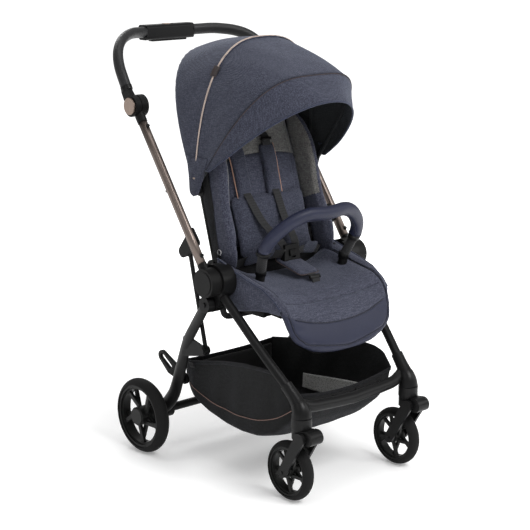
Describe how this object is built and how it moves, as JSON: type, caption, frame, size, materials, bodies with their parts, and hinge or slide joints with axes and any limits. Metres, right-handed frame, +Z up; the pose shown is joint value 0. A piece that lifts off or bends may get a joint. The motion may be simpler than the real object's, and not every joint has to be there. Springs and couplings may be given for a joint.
{
  "type": "baby stroller",
  "caption": "Folding four-wheel baby stroller with a reclining seat, fanning canopy, bumper bar, legrest, storage basket, adjustable handlebar and swivelling front wheels.",
  "frame": {"origin": "on the floor, midway between the foremost and rearmost points, on the centre plane", "axes": "+Z up; the child faces -Y; +X is the child's left"},
  "size_m": [0.548, 0.815, 1.1027],
  "materials": {
    "frame_black": "matt powder coat over aluminium tube",
    "plastic_black": "fine texture",
    "tube_bronze": "satin metallic bronze",
    "accent_rose": "satin rose gold",
    "grip_leather": "stitched grain",
    "bumper_leather": "smooth grain",
    "fabric_navy": "melange weave",
    "fabric_black": "plain weave",
    "rim_black": "satin moulded",
    "tyre_black": "foam rubber"
  },
  "bodies": {
    "chassis": {"front_leg_right": "frame_black", "front_leg_left": "frame_black", "front_crossbar": "frame_black", "seat_crossbar": "frame_black", "hub_housing_right": "plastic_black", "hub_housing_left": "plastic_black", "caster_housing_right": "plastic_black", "caster_housing_left": "plastic_black", "basket": "fabric_black"},
    "rear_frame": {"rear_leg_right": "frame_black", "rear_leg_left": "frame_black", "rear_axle": "frame_black", "brake_housings": "plastic_black"},
    "brake_lever": {"brake_pedal": "plastic_black"},
    "fold_links": {"fold_link_right": "plastic_black", "fold_link_left": "plastic_black"},
    "push_frame": {"push_tube_right": "tube_bronze", "push_tube_left": "tube_bronze", "fold_hub_right": "plastic_black", "fold_hub_left": "plastic_black", "handle_joints": "plastic_black", "tube_studs": "plastic_black"},
    "handle": {"handlebar": "grip_leather", "handle_console": "plastic_black", "handle_ends": "plastic_black"},
    "trigger": {"fold_trigger": "plastic_black"},
    "safety": {"safety_slider": "accent_rose"},
    "joint_button_right": {"handle_button_right": "accent_rose"},
    "joint_button_left": {"handle_button_left": "accent_rose"},
    "seat": {"seat_pan": "plastic_black", "seat_bracket_right": "plastic_black", "seat_bracket_left": "plastic_black", "seat_cushion": "fabric_navy", "crotch_strap": "fabric_navy", "harness_buckle": "plastic_black"},
    "buckle_release": {"buckle_button": "accent_rose"},
    "seat_release_right": {"seat_lever_right": "fabric_navy"},
    "seat_release_left": {"seat_lever_left": "fabric_navy"},
    "backrest": {"backrest_frame": "frame_black", "back_shell": "plastic_black", "back_cushion": "fabric_navy", "shoulder_harness": "fabric_navy", "canopy_mounts": "plastic_black", "canopy_rear": "fabric_navy"},
    "canopy_bow_middle": {"canopy_middle": "fabric_navy"},
    "canopy_bow_front": {"canopy_front": "fabric_navy"},
    "legrest": {"legrest_board": "plastic_black", "legrest_pad": "bumper_leather"},
    "bumper": {"bumper_bar": "bumper_leather"},
    "caster_right": {"caster_fork_right": "rim_black"},
    "caster_left": {"caster_fork_left": "rim_black"},
    "front_wheel_right": {"front_rim_right": "rim_black", "front_tyre_right": "tyre_black"},
    "front_wheel_left": {"front_rim_left": "rim_black", "front_tyre_left": "tyre_black"},
    "rear_wheel_right": {"rear_rim_right": "rim_black", "rear_tyre_right": "tyre_black"},
    "rear_wheel_left": {"rear_rim_left": "rim_black", "rear_tyre_left": "tyre_black"}
  },
  "joints": [
    {"name": "frame_fold", "type": "hinge", "parent": "chassis", "child": "push_frame", "pos_m": [0, -0.078, 0.512], "axis": [1, 0, 0], "range_deg": [0, 147]},
    {"name": "rear_fold", "type": "hinge", "parent": "chassis", "child": "rear_frame", "pos_m": [0, -0.068, 0.454], "axis": [-1, 0, 0], "range_deg": [0, 49]},
    {"name": "link_turn", "type": "hinge", "parent": "rear_frame", "child": "fold_links", "pos_m": [0, -0.022, 0.32], "axis": [-1, 0, 0], "range_deg": [0, 22.05]},
    {"name": "handle_angle", "type": "hinge", "parent": "push_frame", "child": "handle", "pos_m": [0, 0.207, 0.918], "axis": [1, 0, 0], "range_deg": [-50, 40]},
    {"name": "trigger_squeeze", "type": "slide", "parent": "handle", "child": "trigger", "axis": [0, 0, 1], "range_m": [0, 0.0035], "stiffness_N_per_m": 600, "springref_m": -0.003},
    {"name": "safety_slide", "type": "slide", "parent": "handle", "child": "safety", "axis": [1, 0, 0], "range_m": [0, 0.012], "stiffness_N_per_m": 80, "springref_m": -0.004},
    {"name": "joint_button_push_right", "type": "slide", "parent": "handle", "child": "joint_button_right", "axis": [1, 0, 0], "range_m": [0, 0.0035], "stiffness_N_per_m": 600, "springref_m": -0.002},
    {"name": "joint_button_push_left", "type": "slide", "parent": "handle", "child": "joint_button_left", "axis": [-1, 0, 0], "range_m": [0, 0.0035], "stiffness_N_per_m": 600, "springref_m": -0.002},
    {"name": "seat_lift", "type": "slide", "parent": "chassis", "child": "seat", "axis": [0, 0, 1], "range_m": [0, 0.05]},
    {"name": "buckle_press", "type": "slide", "parent": "seat", "child": "buckle_release", "axis": [0, 0.9781, -0.2079], "range_m": [0, 0.003], "stiffness_N_per_m": 500, "springref_m": -0.002},
    {"name": "seat_release_pull_right", "type": "slide", "parent": "seat", "child": "seat_release_right", "axis": [0, 0, 1], "range_m": [0, 0.005], "stiffness_N_per_m": 400, "springref_m": -0.003},
    {"name": "seat_release_pull_left", "type": "slide", "parent": "seat", "child": "seat_release_left", "axis": [0, 0, 1], "range_m": [0, 0.005], "stiffness_N_per_m": 400, "springref_m": -0.003},
    {"name": "recline", "type": "hinge", "parent": "seat", "child": "backrest", "pos_m": [0, -0.014, 0.532], "axis": [-1, 0, 0], "range_deg": [0, 45]},
    {"name": "canopy_middle_fold", "type": "hinge", "parent": "backrest", "child": "canopy_bow_middle", "pos_m": [0, 0.038, 0.719], "axis": [-1, 0, 0], "range_deg": [0, 29]},
    {"name": "canopy_front_fold", "type": "hinge", "parent": "canopy_bow_middle", "child": "canopy_bow_front", "pos_m": [0, 0.038, 0.719], "axis": [-1, 0, 0], "range_deg": [0, 27]},
    {"name": "legrest_tilt", "type": "hinge", "parent": "seat", "child": "legrest", "pos_m": [0, -0.256, 0.462], "axis": [-1, 0, 0], "range_deg": [0, 66]},
    {"name": "bumper_pull", "type": "slide", "parent": "seat", "child": "bumper", "axis": [0, -0.1843, 0.9829], "range_m": [0, 0.045]},
    {"name": "brake_press", "type": "hinge", "parent": "rear_frame", "child": "brake_lever", "pos_m": [-0.175, 0.112, 0.205], "axis": [-1, 0, 0], "range_deg": [0, 22]},
    {"name": "caster_swivel_right", "type": "hinge", "parent": "chassis", "child": "caster_right", "pos_m": [-0.186, -0.347, 0.19], "axis": [0, 0, 1], "continuous": true},
    {"name": "front_wheel_spin_right", "type": "hinge", "parent": "caster_right", "child": "front_wheel_right", "pos_m": [-0.186, -0.309, 0.075], "axis": [1, 0, 0], "continuous": true},
    {"name": "rear_wheel_spin_right", "type": "hinge", "parent": "rear_frame", "child": "rear_wheel_right", "pos_m": [-0.251, 0.197, 0.1], "axis": [1, 0, 0], "continuous": true},
    {"name": "caster_swivel_left", "type": "hinge", "parent": "chassis", "child": "caster_left", "pos_m": [0.186, -0.347, 0.19], "axis": [0, 0, 1], "continuous": true},
    {"name": "front_wheel_spin_left", "type": "hinge", "parent": "caster_left", "child": "front_wheel_left", "pos_m": [0.186, -0.309, 0.075], "axis": [1, 0, 0], "continuous": true},
    {"name": "rear_wheel_spin_left", "type": "hinge", "parent": "rear_frame", "child": "rear_wheel_left", "pos_m": [0.251, 0.197, 0.1], "axis": [1, 0, 0], "continuous": true}
  ],
  "couplings": [
    {"joint": "rear_fold", "follows": "frame_fold", "ratio": 0.33333},
    {"joint": "link_turn", "follows": "frame_fold", "ratio": 0.15}
  ]
}
